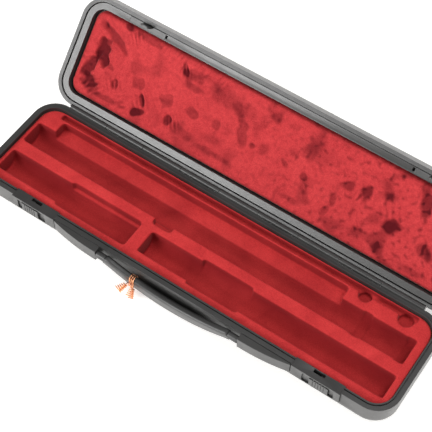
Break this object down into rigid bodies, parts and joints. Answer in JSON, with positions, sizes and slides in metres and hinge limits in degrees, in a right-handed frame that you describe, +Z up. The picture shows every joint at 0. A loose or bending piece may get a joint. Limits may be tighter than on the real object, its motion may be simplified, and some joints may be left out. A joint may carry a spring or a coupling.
{
  "type": "flute case",
  "caption": "Open hard flute case: dark plastic base and hinged lid, red velvet insert with shaped recesses, red plush lid lining, slide latches and a bowed swinging handle",
  "frame": {"origin": "Centre of the base's flat bottom, on the surface that the case stands on", "axes": "+X along the case to the right as seen from the handle side, +Y from the handle side to the hinge, +Z up"},
  "size_m": [0.385, 0.1912, 0.0983],
  "materials": {
    "shell_plastic": "moulded dark charcoal plastic, soft sheen",
    "trim_plastic": "moulded black plastic, fine grain",
    "rim_plastic": "smooth dark plastic with a gloss",
    "steel": "plain zinc-plated steel",
    "spring_steel": "drawn spring wire",
    "velvet": "short red flocked velvet",
    "plush": "red plush with soft folds",
    "foam": "open-cell foam pad",
    "fibre_block": "pressed wood fibre block",
    "card": "hard fibre board",
    "copper_wire": "bare copper-coloured wire"
  },
  "bodies": {
    "base": {"base_shell": "shell_plastic", "hinge_pin": "steel", "insert_body_block": "fibre_block", "insert_back_rail": "fibre_block", "insert_rod_block": "fibre_block", "insert_foot_block": "fibre_block", "insert_head_block": "fibre_block", "insert_velvet": "velvet", "latch_left_housing": "trim_plastic", "latch_right_housing": "trim_plastic", "latch_left_screws": "steel", "latch_right_screws": "steel", "latch_left_spring": "spring_steel", "latch_right_spring": "spring_steel", "handle_left_bracket": "shell_plastic", "handle_right_bracket": "shell_plastic", "bracket_left_screws": "steel", "bracket_right_screws": "steel", "handle_left_pin": "steel", "handle_right_pin": "steel"},
    "lid": {"lid_shell": "shell_plastic", "lid_rim_frame": "rim_plastic", "lid_backing_board": "card", "lid_foam_pad": "foam", "lid_plush_lining": "plush", "catch_left_plate": "trim_plastic", "catch_right_plate": "trim_plastic"},
    "latch_left": {"latch_left_slider": "trim_plastic"},
    "latch_right": {"latch_right_slider": "trim_plastic"},
    "handle": {"handle_grip": "shell_plastic", "handle_tie": "copper_wire"}
  },
  "joints": [
    {"name": "lid_hinge", "type": "hinge", "parent": "base", "child": "lid", "pos_m": [0, 0.04905, 0.025], "axis": [1, 0, 0], "range_deg": [0, 132.5]},
    {"name": "latch_left_slide", "type": "slide", "parent": "base", "child": "latch_left", "axis": [-1, 0, 0], "range_m": [0, 0.0034], "stiffness_N_per_m": 150, "springref_m": -0.002, "deforming": ["latch_left_spring"]},
    {"name": "latch_right_slide", "type": "slide", "parent": "base", "child": "latch_right", "axis": [1, 0, 0], "range_m": [0, 0.0034], "stiffness_N_per_m": 150, "springref_m": -0.002, "deforming": ["latch_right_spring"]},
    {"name": "handle_swing", "type": "hinge", "parent": "base", "child": "handle", "pos_m": [0, -0.0515, 0.019], "axis": [-1, 0, 0], "range_deg": [0, 95]}
  ]
}
